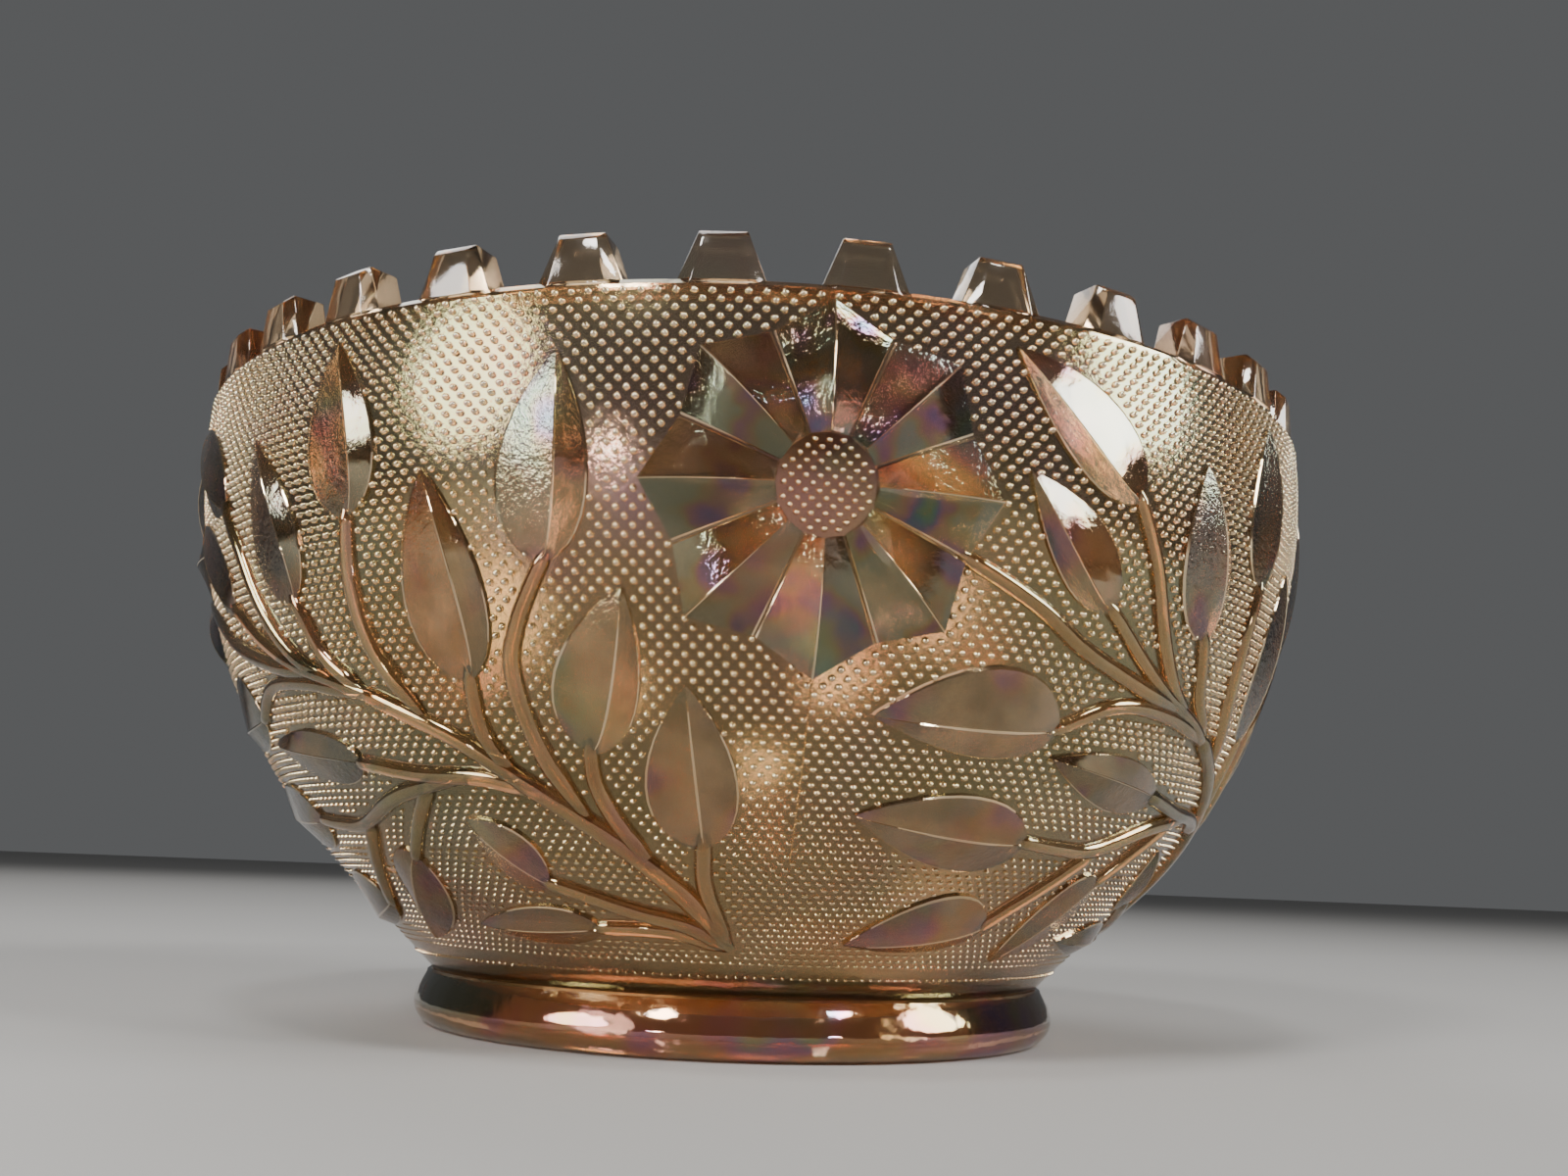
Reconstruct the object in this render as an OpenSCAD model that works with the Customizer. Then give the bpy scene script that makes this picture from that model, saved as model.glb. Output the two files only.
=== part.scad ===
// Pressed glass bowl: round wall on a foot ring, block teeth round the rim, and raised beads, leaf
// sprays and blossoms on the outside. Z is the bowl's axis and z = 0 is the plane it stands on.
// The mould has equal sections; the first one's blossom faces -Y.

/* [Bowl] */
// Largest radius of the glass wall, beads not counted
belly_r = 80.4; // [67:0.1:96.5]
// Height of the widest level
belly_z = 78; // [75:0.5:82]
// Radius of the wall's arc, seen in section
wall_arc_r = 82; // [78:0.5:92]
// Height of the wall's top edge, where the teeth stand
rim_z = 83.6; // [69.6:0.1:100.4]
// Thickness of the glass wall
wall_t = 5; // [3.5:0.25:6.5]
// Height of the plain band at the top of the wall
band_h = 1.2; // [0.8:0.1:2.5]

/* [Foot] */
// Height of the foot ring
foot_h = 7.5; // [6.25:0.25:9.5]
// How far the foot ring swells out past the neck
foot_swell = 2.3; // [1:0.1:3.5]
// Radius of the ring's rounded outer edge
foot_round = 3.1; // [2:0.1:3.7]
// Width of the foot ring, from the recess to the neck
foot_ring_w = 7.9; // [5:0.1:12]
// Depth of the recess under the floor
recess_depth = 3.6; // [2:0.1:5]
// Thickness of the floor
floor_t = 6.4; // [5.5:0.1:9]

/* [Rim teeth] */
// Number of teeth round the rim
teeth = 32; // [24:1:36]
// Height of a tooth
tooth_h = 5.7; // [3:0.1:8]
// Width of a tooth at its root
tooth_root_w = 10; // [7:0.1:10.5]
// Width of a tooth at its top
tooth_top_w = 5.3; // [4:0.1:6.8]
// Width of the slope along a tooth's outer edges
tooth_bevel = 1.1; // [0.4:0.1:1.6]
// Angle of the first tooth from the first blossom
tooth_turn = 2.6; // [0:0.1:11]

/* [Raised ground] */
// Height of the beads above the wall
bead_h = 0.6; // [0.3:0.05:1]
// Height where the beaded ground starts
ground_z = 12.5; // [11:0.25:14]

/* [Leaf sprays] */
// Height of the leaves above the beads
leaf_rise = 0.9; // [0.4:0.05:1.5]
// Height of the stems above the beads
stem_rise = 0.7; // [0.3:0.05:1.2]
// Width of a stem
stem_w = 2.2; // [1.4:0.1:3]
// Angle from a blossom to the foot of its spray
spray_turn = -5.3; // [-8:0.1:-3]

/* [Blossoms] */
// Beaded strip left between a blossom and the rim band
blossom_gap = 1; // [0.5:0.1:3]
// Petals in one blossom
petals = 8; // [6:1:10]
// Radius of the blossom at the petal tips
blossom_r = 19.4; // [15:0.1:23.3]
// Depth of the notches between petal tips
notch_depth = 2.6; // [1:0.1:4]
// Radius of the beaded centre
eye_r = 5.2; // [3.5:0.1:7]
// Groove between two petals
petal_groove = 0.5; // [0.3:0.05:0.9]
// Height of the petals above the beads
petal_rise = 0.9; // [0.4:0.05:1.5]

/* [Hidden] */
// The mould's sections, each with one blossom and one leaf spray
SIDES = ["front", "right", "back", "left"];
$fn = 96;
AMBER = [0.78, 0.50, 0.25];
DEEP_AMBER = [0.66, 0.36, 0.15];
GOLD = [0.86, 0.74, 0.48];
SMOKE = [0.47, 0.38, 0.28];

section_angle = 360 / len(SIDES);
arc_c = belly_r - wall_arc_r;      // radius at which the wall's arc is centred
toe_angle = 45;                    // the arc runs into a cone of this slope above the foot
band_z = rim_z - band_h;
cone_k = 1 / cos(toe_angle);
reach = belly_r + 20;              // anything longer than the bowl's radius

// Outside radius of the wall at height z, pushed out by off
function arc_end_z(off) = belly_z - (wall_arc_r + off) * sin(toe_angle);
function cone_r(z, off) =
    arc_c + (wall_arc_r + off) * cone_k - (belly_z - z) * tan(toe_angle);
function wall_r(z, off = 0) =
    z > arc_end_z(off)
        ? arc_c + sqrt(pow(wall_arc_r + off, 2) - pow(z - belly_z, 2))
        : cone_r(z, off);

neck_r = wall_r(foot_h);
recess_r = neck_r - foot_ring_w;
floor_z = recess_depth + floor_t;
rim_r = wall_r(rim_z);
rim_in_r = rim_r - wall_t;
blossom_z = band_z - blossom_gap - blossom_r;
notch_r = blossom_r - notch_depth;

// Heights in the spray's tables are for a beaded ground this tall, and stretch with it
DRAWN_FROM = 12.5;
DRAWN_H = 69.9;
function at_height(z) = ground_z + (z - DRAWN_FROM) * (band_z - ground_z) / DRAWN_H;

// Leaves of one spray: angle and height of the base, angle and height of the tip, then how far the
// leaf swells to its left and to its right. Angles are from the spray's foot.
LEAVES = [
    [-3.9, 24.8, -5.2, 41.5, 5.6, 4.6],
    [-14.2, 34.4, -10.3, 51.2, 5.4, 4.2],
    [-16.9, 53.6, -15.6, 75.7, 5.8, 4.8],
    [-24.8, 41.8, -27.3, 64, 5.9, 4.8],
    [-35.8, 59.7, -36.8, 80, 5.7, 5.5],
    [-44.6, 51.5, -48.8, 71.2, 5.7, 4.8],
    [-57, 65, -70, 79, 4.2, 5.1],
    [-58.2, 52.6, -68.3, 65.7, 3.7, 4.3],
    [-60.5, 39.4, -79, 39.3, 3.7, 6],
    [-58.5, 27, -79, 29, 4.3, 3.9],
    [-41.8, 33.3, -60, 36.3, 3.3, 2.8],
    [-56.5, 17.2, -76, 14.6, 2.2, 4.4],
    [-41, 23, -50.5, 12.8, 4, 3.8],
    [-22.5, 20.3, -30, 27.3, 3.1, 3.2],
    [-17.8, 15.4, -37, 15.2, 2.1, 2.3]
];

// Stems of one spray, each a route of [angle, height] from the spray's foot
STEMS = [
    [[-1, 13.6], [-5.5, 18.7], [-12, 24.3], [-20, 30], [-28, 35.8], [-37, 40.5]],
    [[-35, 39.6], [-42, 42.5], [-48, 44.8], [-53, 48], [-58.2, 52.6]],
    [[-42, 42.6], [-47, 45.5], [-51, 51], [-54, 58.5], [-57, 65]],
    [[-44, 43.2], [-52, 45], [-60, 48], [-66, 52], [-75, 57]],
    [[-38, 40.6], [-46, 42.4], [-54, 42.6], [-60.5, 39.4]],
    [[-1, 13.6], [-2.8, 17.5], [-3.9, 21], [-3.9, 24.8]],
    [[-9.3, 22.3], [-12.6, 27.3], [-14.1, 31], [-14.2, 34.4]],
    [[-15.5, 27.2], [-19, 34.5], [-20.5, 42], [-19.6, 47], [-16.9, 53.6]],
    [[-22.5, 32], [-24.7, 36.5], [-24.8, 41.8]],
    [[-31, 38], [-35, 45.5], [-36.2, 53], [-35.8, 59.7]],
    [[-38, 41.2], [-42, 45.2], [-44.6, 51.5]],
    [[-20, 30], [-26, 31.6], [-34, 32], [-41.8, 33.3]],
    [[-28, 31.7], [-38, 29.8], [-47, 26.6], [-53, 26.5], [-58.5, 27]],
    [[-46, 26.8], [-50, 22.8], [-56.5, 17.2]],
    [[-33, 31], [-36.5, 27.5], [-41, 23]],
    [[-1, 13.6], [-6, 16], [-13, 17.5], [-22.5, 20.3]],
    [[-1, 13.6], [-8, 15.2], [-17.8, 15.4]]
];

// A point of the tables, [angle, height], as seen square on from angle a0
function seen(p, a0) =
    let (z = at_height(p[1])) [wall_r(z) * sin(p[0] - a0), z];

// How wide a leaf is at a share t of its length, as a share of its swell: round base, sharp tip
function leaf_swell(t) = pow(t, 0.55) * pow(1 - t, 0.95) / 0.373;

LEAF_STEPS = 7;
function leaf_side(base, axis, normal, swell, ts) =
    [for (t = ts) base + t * axis + swell * leaf_swell(t) * normal];

function leaf_outline(leaf, a0) =
    let (
        base = seen([leaf[0], leaf[1]], a0),
        tip = seen([leaf[2], leaf[3]], a0),
        axis = tip - base,
        left = [-axis[1], axis[0]] / norm(axis),
        up = [for (i = [1 : LEAF_STEPS - 1]) i / LEAF_STEPS],
        down = [for (i = [1 : LEAF_STEPS - 1]) 1 - i / LEAF_STEPS]
    )
    concat([base], leaf_side(base, axis, left, leaf[4], up),
           [tip], leaf_side(base, axis, -left, leaf[5], down));

// Direction of a route at point i, and the two edges of a ribbon along it
function route_dir(r, i) =
    let (d = r[min(i + 1, len(r) - 1)] - r[max(i - 1, 0)]) d / norm(d);
function ribbon_edge(r, side) =
    [for (i = [0 : len(r) - 1]) let (d = route_dir(r, i)) r[i] + side * [-d[1], d[0]]];
function reversed(list) = [for (i = [len(list) - 1 : -1 : 0]) list[i]];
function ribbon(r, width) =
    concat(ribbon_edge(r, width / 2), reversed(ribbon_edge(r, -width / 2)));

// The part of the section from z0 up to z1, from radius r0 out
module section_window(z0, z1, r0 = 0) {
    translate([r0, z0]) square([reach - r0, z1 - z0]);
}

// All of the section from z0 up to z1 that lies outside the wall pushed out by off
module section_beyond(off, z0, z1, r0 = recess_r) {
    end_z = arc_end_z(off);
    difference() {
        section_window(z0, z1, r0);
        translate([arc_c, belly_z]) circle(r = wall_arc_r + off);
        polygon([
            [0, end_z], [cone_r(end_z, off), end_z], [cone_r(0, off), 0], [0, 0]
        ]);
    }
}

// A layer that follows the wall, from off0 to off1 above it
module layer(off0, off1, z0, z1, angle = 360) {
    rotate_extrude(angle = angle)
        difference() {
            section_beyond(off0, z0, z1);
            section_beyond(off1, z0, z1);
        }
}

// A flat outline drawn on the plane facing angle a0, pushed through the wall's near side
module through_wall(a0) {
    rotate([0, 0, a0])
        translate([0, -recess_r / 3, 0])
            rotate([90, 0, 0])
                linear_extrude(height = reach) children();
}

module leaf_cutters() {
    for (leaf = LEAVES) {
        a0 = (leaf[0] + leaf[2]) / 2;
        through_wall(a0) polygon(leaf_outline(leaf, a0));
    }
}

module stem_cutters() {
    for (route = STEMS) {
        a0 = (route[0][0] + route[len(route) - 1][0]) / 2;
        through_wall(a0) polygon(ribbon([for (p = route) seen(p, a0)], stem_w));
    }
}

// Direction of section k's blossom
function section_turn(k) = k * section_angle;

// Outline of a whole blossom, on the plane that it faces
module blossom_outline() {
    tip_step = 180 / petals;
    polygon([
        for (i = [0 : 2 * petals - 1])
            let (r = i % 2 == 0 ? blossom_r : notch_r) r * [sin(i * tip_step), cos(i * tip_step)]
    ]);
}

// The blossoms at both ends of section k's spray, which its leaves and stems stop at
module spray_ends(k) {
    for (turn = [section_turn(k), section_turn(k - 1)])
        through_wall(turn) translate([0, blossom_z]) blossom_outline();
}

module petal_outline() {
    half = 180 / petals;
    root_r = eye_r + petal_groove;
    g = petal_groove / 2;
    polygon([
        [g, root_r * cos(half) + g], [root_r * sin(half) - g, root_r * cos(half)],
        [notch_r * sin(half) - g, notch_r * cos(half)], [0, blossom_r],
        [g - notch_r * sin(half), notch_r * cos(half)], [g - root_r * sin(half), root_r * cos(half)],
        [-g, root_r * cos(half) + g]
    ]);
}

module petal_cutters(k) {
    for (i = [0 : petals - 1])
        through_wall(section_turn(k))
            translate([0, blossom_z]) rotate(i * 360 / petals) petal_outline();
}

// The wall, from the foot ring to the rim band. Below the floor's top it reaches in to the recess.
module bowl_wall() {
    color(AMBER)
        rotate_extrude()
            difference() {
                section_window(foot_h, band_z, recess_r);
                difference() {
                    section_window(floor_z, band_z, 0);
                    section_beyond(-wall_t, floor_z, band_z, 0);
                }
                section_beyond(0, foot_h, band_z);
            }
}

module bowl_floor() {
    color(DEEP_AMBER)
        translate([0, 0, recess_depth]) cylinder(r = recess_r, h = floor_z - recess_depth);
}

module foot_ring() {
    color(DEEP_AMBER)
        rotate_extrude()
            difference() {
                union() {
                    translate([neck_r + foot_swell - foot_round, foot_round]) circle(r = foot_round);
                    square([neck_r + foot_swell - foot_round, 2 * foot_round]);
                    square([neck_r, foot_h]);
                }
                square([recess_r, foot_h]);
            }
}

module rim_band() {
    color(DEEP_AMBER) layer(-wall_t, 0, band_z, rim_z);
}

// One tooth, its outer face looking along -Y: full size at the back and sloped to the outer face
module tooth() {
    sag = tooth_root_w * tooth_root_w / (8 * rim_r);
    out_y = -(rim_r - sag);
    slope_y = out_y + tooth_bevel;
    back_y = -(rim_in_r + sag / 2);
    lift = (tooth_root_w - tooth_top_w) / 2 * tooth_bevel / tooth_h;
    function ring(y, root, top, h) =
        [[-root, y, rim_z], [root, y, rim_z], [top, y, rim_z + h], [-top, y, rim_z + h]];
    root = tooth_root_w / 2;
    top = tooth_top_w / 2;
    polyhedron(
        points = concat(
            ring(back_y, root, top, tooth_h),
            ring(slope_y, root, top, tooth_h),
            ring(out_y, root - tooth_bevel, top + lift - tooth_bevel / 2, tooth_h - tooth_bevel)),
        faces = concat(
            [[0, 1, 2, 3]],
            [for (k = [0, 4]) for (i = [0 : 3])
                [k + i, k + i + 4, k + (i + 1) % 4 + 4, k + (i + 1) % 4]],
            [[11, 10, 9, 8]]));
}

module rim_teeth() {
    color(DEEP_AMBER)
        for (i = [0 : teeth - 1])
            rotate([0, 0, tooth_turn + i * 360 / teeth]) tooth();
}

module beads(k) {
    color(GOLD)
        rotate([0, 0, section_turn(k) - 90 - section_angle / 2])
            layer(0, bead_h, ground_z, band_z, section_angle);
}

module leaves(k) {
    color(SMOKE)
        difference() {
            intersection() {
                layer(bead_h, bead_h + leaf_rise, ground_z, band_z);
                rotate([0, 0, section_turn(k) + spray_turn]) leaf_cutters();
            }
            spray_ends(k);
        }
}

module stems(k) {
    color(AMBER)
        difference() {
            intersection() {
                layer(bead_h, bead_h + stem_rise, ground_z, band_z);
                rotate([0, 0, section_turn(k) + spray_turn]) stem_cutters();
            }
            rotate([0, 0, section_turn(k) + spray_turn]) leaf_cutters();
            spray_ends(k);
        }
}

module petals_of(k) {
    color(SMOKE)
        intersection() {
            layer(bead_h, bead_h + petal_rise, ground_z, band_z);
            petal_cutters(k);
        }
}

module blossom_eye(k) {
    color(GOLD)
        intersection() {
            layer(bead_h, bead_h + petal_rise, ground_z, band_z);
            through_wall(section_turn(k)) translate([0, blossom_z]) circle(r = eye_r);
        }
}

bowl_wall();
bowl_floor();
foot_ring();
rim_band();
rim_teeth();
for (k = [0 : len(SIDES) - 1]) {
    beads(k);
    leaves(k);
    stems(k);
    petals_of(k);
    blossom_eye(k);
}
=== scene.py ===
import math

import bpy
import numpy as np
from mathutils import Matrix, Vector


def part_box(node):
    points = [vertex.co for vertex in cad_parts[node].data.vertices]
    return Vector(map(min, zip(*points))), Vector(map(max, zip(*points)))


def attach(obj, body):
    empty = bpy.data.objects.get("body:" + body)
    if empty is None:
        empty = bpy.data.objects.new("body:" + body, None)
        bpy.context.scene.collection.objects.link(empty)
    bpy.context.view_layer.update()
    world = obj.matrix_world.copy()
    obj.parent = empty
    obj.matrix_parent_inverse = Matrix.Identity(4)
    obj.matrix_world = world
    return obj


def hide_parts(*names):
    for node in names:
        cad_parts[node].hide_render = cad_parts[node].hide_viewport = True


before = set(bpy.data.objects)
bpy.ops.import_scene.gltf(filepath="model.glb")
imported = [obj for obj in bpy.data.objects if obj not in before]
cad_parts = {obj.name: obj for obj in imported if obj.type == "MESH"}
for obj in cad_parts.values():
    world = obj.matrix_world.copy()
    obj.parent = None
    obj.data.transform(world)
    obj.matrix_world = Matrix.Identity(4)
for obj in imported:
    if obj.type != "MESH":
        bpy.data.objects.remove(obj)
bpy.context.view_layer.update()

# ---------------------------------------------------------------- sizes, in metres and degrees
MM = 0.001
SIDES = ("front", "right", "back", "left")
QUARTER = 90.0

BELLY_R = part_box("bowl_wall")[1].x
FOOT_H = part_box("foot_ring")[1].z
FOOT_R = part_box("foot_ring")[1].x
RECESS_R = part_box("bowl_floor")[1].x
RECESS_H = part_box("bowl_floor")[0].z
FLOOR_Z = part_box("bowl_floor")[1].z
BAND_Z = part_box("bowl_wall")[1].z
RIM_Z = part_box("rim_band")[1].z
TOP_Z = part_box("rim_teeth")[1].z
GROUND_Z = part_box("beads_front")[0].z

ARC_R = 82 * MM              # the wall's arc in section, and the height of its widest level
ARC_Z = 78 * MM
ARC_C = BELLY_R - ARC_R
WALL_T = 5 * MM
TOE = math.radians(45)       # the arc runs into a cone of this slope above the foot

ROUND_STEPS = 192            # flats round each turned piece

TEETH = 32
TOOTH_TURN = 2.6             # angle of the first tooth
TOOTH_ROOT = 10 * MM         # a tooth's width at the band and at its top
TOOTH_TOP = 5.3 * MM

BEADS_ROUND = 264            # beads in a row, all the way round
BEAD_STEP = 360 / BEADS_ROUND
ROW_STEP = 0.965 * MM        # distance between rows along the wall
SPRAY_TURN = -5.3            # the sprays are turned by this much against the blossoms
BLOSSOM_Z = 62 * MM
PETALS = 8
PETAL_TIP = 19.4 * MM
NOTCH_R = 16.8 * MM
EYE_R = 5.2 * MM
EYE_STEP = 1.5 * MM          # between the eye's beads in a row; the rows are half as far apart
STUD_Z = GROUND_Z - 2.5 * MM     # the row of small studs just above the foot
SEAM_Z = (24 * MM, 43 * MM)      # the mould seam shows below each blossom
SEAM_STEP = 0.7 * MM

# Half width, half length down the wall and height of the beads that don't change with their place
STUD = (0.27 * MM, 0.24 * MM, 0.24 * MM)
SEAM_BEAD = (0.13 * MM, 0.80 * MM, 0.40 * MM)
EYE_BEAD = (0.43 * MM, 0.41 * MM, 1.05 * MM)

# Relief above the wall: a leaf's and a petal's ridge at their ends, what it gains in the middle, and
# the height of the edges
LEAF_RIDGE, LEAF_RISE, LEAF_EAVES = 0.42 * MM, 0.95 * MM, 0.28 * MM
PETAL_RIDGE, PETAL_RISE, PETAL_EAVES = 0.75 * MM, 1.35 * MM, 0.34 * MM
CAP_DROP = 0.07 * MM         # from the ridge to the facets beside it
EDGE_DROP = 0.13 * MM        # from the facets to the edge

# Shares of the half width: the narrow flat along the ridge, and where the edge's slope starts
LEAF_CAP, LEAF_EDGE = 0.03, 0.95
PETAL_CAP, PETAL_EDGE = 0.02, 0.97
LEAF_COLUMNS = (-1, -LEAF_EDGE, -0.5, -LEAF_CAP, 0, LEAF_CAP, 0.5, LEAF_EDGE, 1)
PETAL_COLUMNS = (-1, -PETAL_EDGE, -PETAL_CAP, 0, PETAL_CAP, PETAL_EDGE, 1)

STEM_R = 1.2 * MM            # half width of a stem whose share is 1
STEM_LAP = 1.6               # how far a stem goes on past its route, in mm
STEM_ROOM = 1.45 * MM        # no bead is nearer to the middle of a stem
LEAF_ROOM = 0.28 * MM        # nor nearer to a leaf's edge
BLOSSOM_ROOM = 0.3 * MM      # nor nearer to a blossom's
BLOSSOM_SPAN = 30            # a blossom lies within this angle of its middle, to either side
LEAF_SPAN = 40               # and a leaf within this one

# Leaves of one spray: angle and height of the base, angle and height of the tip, swell to the left
# and to the right (heights and swells in mm), and where the ridge lies between the edges, from -1 at
# the left to 1
LEAVES = [
    (-3.9, 24.8, -5.2, 41.5, 5.6, 4.6, 0.05),
    (-14.2, 34.4, -10.3, 51.2, 5.4, 4.2, 0.35),
    (-16.9, 53.6, -15.6, 75.7, 5.8, 4.8, 0.30),
    (-24.8, 41.8, -27.3, 64.0, 5.9, 4.8, 0.42),
    (-35.8, 59.7, -36.8, 80.0, 5.7, 5.5, 0.45),
    (-44.6, 51.5, -48.8, 71.2, 5.7, 4.8, 0.45),
    (-57.0, 65.0, -70.0, 79.0, 4.2, 5.1, -0.35),
    (-58.2, 52.6, -68.3, 65.7, 3.7, 4.3, -0.35),
    (-60.5, 39.4, -79.0, 39.3, 3.7, 6.0, -0.15),
    (-58.5, 27.0, -79.0, 29.0, 4.3, 3.9, -0.10),
    (-41.8, 33.3, -60.0, 36.3, 3.3, 2.8, 0.10),
    (-56.5, 17.2, -76.0, 14.6, 2.2, 4.4, -0.20),
    (-41.0, 23.0, -50.5, 12.8, 4.0, 3.8, 0.15),
    (-22.5, 20.3, -30.0, 27.3, 3.1, 3.2, 0.0),
    (-17.8, 15.4, -37.0, 15.2, 2.1, 2.3, 0.0),
]

# Stems of one spray: half width where it starts and where it ends, as shares of STEM_R, then its
# route of angle and height (mm)
STEMS = [
    (1.25, 1.0, [(-1, 13.6), (-5.5, 18.7), (-12, 24.3), (-20, 30), (-28, 35.8), (-37, 40.5)]),
    (1.0, 0.8, [(-35, 39.6), (-42, 42.5), (-48, 44.8), (-53, 48), (-58.2, 52.6)]),
    (1.0, 0.8, [(-42, 42.6), (-47, 45.5), (-51, 51), (-54, 58.5), (-57, 65)]),
    (1.1, 0.8, [(-44, 43.2), (-52, 45), (-60, 48), (-66, 52), (-75, 57)]),
    (1.0, 0.8, [(-38, 40.6), (-46, 42.4), (-54, 42.6), (-60.5, 39.4)]),
    (0.9, 0.9, [(-1, 13.6), (-2.8, 17.5), (-3.9, 21), (-3.9, 24.8)]),
    (1.0, 0.8, [(-9.3, 22.3), (-12.6, 27.3), (-14.1, 31), (-14.2, 34.4)]),
    (1.1, 0.8, [(-15.5, 27.2), (-19, 34.5), (-20.5, 42), (-19.6, 47), (-16.9, 53.6)]),
    (1.0, 0.8, [(-22.5, 32), (-24.7, 36.5), (-24.8, 41.8)]),
    (1.1, 0.8, [(-31, 38), (-35, 45.5), (-36.2, 53), (-35.8, 59.7)]),
    (1.0, 0.8, [(-38, 41.2), (-42, 45.2), (-44.6, 51.5)]),
    (1.1, 0.9, [(-20, 30), (-26, 31.6), (-34, 32), (-41.8, 33.3)]),
    (1.1, 0.8, [(-28, 31.7), (-38, 29.8), (-47, 26.6), (-53, 26.5), (-58.5, 27)]),
    (1.0, 0.8, [(-46, 26.8), (-50, 22.8), (-56.5, 17.2)]),
    (1.0, 0.8, [(-33, 31), (-36.5, 27.5), (-41, 23)]),
    (1.1, 0.8, [(-1, 13.6), (-6, 16), (-13, 17.5), (-22.5, 20.3)]),
    (1.0, 0.8, [(-1, 13.6), (-8, 15.2), (-17.8, 15.4)]),
]


# ---------------------------------------------------------------- the wall's surface
def arc_end(off=0.0):
    return ARC_Z - (ARC_R + off) * math.sin(TOE)


def wall_radius(z, off=0.0):
    """Radius of the wall pushed out by off, at height z."""
    if z > arc_end(off):
        return ARC_C + math.sqrt((ARC_R + off) ** 2 - (z - ARC_Z) ** 2)
    return ARC_C + (ARC_R + off) / math.cos(TOE) - (ARC_Z - z) * math.tan(TOE)


def section_normal(z):
    """The wall's outward normal in section, as (outwards, upwards)."""
    if z > arc_end():
        return (wall_radius(z) - ARC_C) / ARC_R, (z - ARC_Z) / ARC_R
    return math.cos(TOE), -math.sin(TOE)


def on_wall(angle, z, off=0.0):
    """A point at that angle from the front and that height, off above the wall."""
    nr, nz = section_normal(z)
    r = wall_radius(z) + off * nr
    a = math.radians(angle)
    return Vector((r * math.sin(a), -r * math.cos(a), z + off * nz))


def facing(x, z, turn, off):
    """The wall's point seen at (x, z) square on from angle turn, off above the wall."""
    reach = max(-0.999, min(0.999, x / wall_radius(z)))
    return on_wall(turn + math.degrees(math.asin(reach)), z, off)


def seen(angle, z, turn):
    """Where the wall's point at that angle and height is seen square on from angle turn."""
    return Vector((wall_radius(z) * math.sin(math.radians(angle - turn)), z))


# ---------------------------------------------------------------- making pieces
def clear_selection():
    bpy.ops.object.select_all(action="DESELECT")


def pick(obj):
    clear_selection()
    obj.select_set(True)
    bpy.context.view_layer.objects.active = obj


def edit(obj):
    pick(obj)
    bpy.ops.object.mode_set(mode="EDIT")


def leave():
    bpy.ops.object.mode_set(mode="OBJECT")


def named(name):
    """Names the object just made, and its mesh."""
    obj = bpy.context.object
    obj.name = name
    obj.data.name = name
    return obj


def settle(obj):
    """The object's place goes into its mesh."""
    pick(obj)
    bpy.ops.object.transform_apply(location=True, rotation=True, scale=True)


def choose_vertices(obj, test):
    """In edit mode, leaves selected only the vertices that pass the test."""
    bpy.ops.mesh.select_mode(type="VERT")
    bpy.ops.mesh.select_all(action="DESELECT")
    bpy.ops.object.mode_set(mode="OBJECT")
    for v in obj.data.vertices:
        v.select = bool(test(v.co))
    bpy.ops.object.mode_set(mode="EDIT")


def outward(obj):
    edit(obj)
    bpy.ops.mesh.select_all(action="SELECT")
    bpy.ops.mesh.normals_make_consistent(inside=False)
    leave()


def smooth(obj, degrees):
    pick(obj)
    bpy.ops.object.shade_smooth_by_angle(angle=math.radians(degrees))


def join(parts, name):
    clear_selection()
    for p in parts:
        p.select_set(True)
    bpy.context.view_layer.objects.active = parts[0]
    bpy.ops.object.join()
    return named(name)


def bevelled(obj, width, angle):
    pick(obj)
    m = obj.modifiers.new("edge", "BEVEL")
    m.width, m.segments = width, 2
    m.limit_method, m.angle_limit = "ANGLE", math.radians(angle)
    bpy.ops.object.modifier_apply(modifier=m.name)


def lathe(name, profile):
    """Walks one vertex along the profile (radius, height) and spins it round the Z axis."""
    bpy.ops.mesh.primitive_plane_add(size=1, location=(0, 0, 0))
    obj = named(name)
    edit(obj)
    choose_vertices(obj, lambda co: co.x > 0 or co.y > 0)
    bpy.ops.mesh.delete(type="VERT")
    leave()
    obj.data.vertices[0].co = (profile[0][0], 0, profile[0][1])
    edit(obj)
    bpy.ops.mesh.select_all(action="SELECT")
    for (r0, z0), (r1, z1) in zip(profile, profile[1:]):
        bpy.ops.mesh.extrude_region_move(TRANSFORM_OT_translate={"value": (r1 - r0, 0, z1 - z0)})
    bpy.ops.mesh.select_all(action="SELECT")
    bpy.ops.mesh.spin(steps=ROUND_STEPS, angle=math.tau, center=(0, 0, 0), axis=(0, 0, 1))
    bpy.ops.mesh.select_all(action="SELECT")
    bpy.ops.mesh.remove_doubles(threshold=1e-6)
    leave()
    outward(obj)
    return obj


def arc_points(cx, cz, r, start, end, count):
    """Points of an arc in section, angles in degrees from outwards towards up."""
    out = []
    for i in range(count + 1):
        a = math.radians(start + (end - start) * i / count)
        out.append((cx + r * math.cos(a), cz + r * math.sin(a)))
    return out


def wall_line(z0, z1, off, count):
    """Points (radius, height) along the wall pushed out by off."""
    zs = [z0 + (z1 - z0) * i / count for i in range(count + 1)]
    return [(wall_radius(z, off), z) for z in zs]


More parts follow.
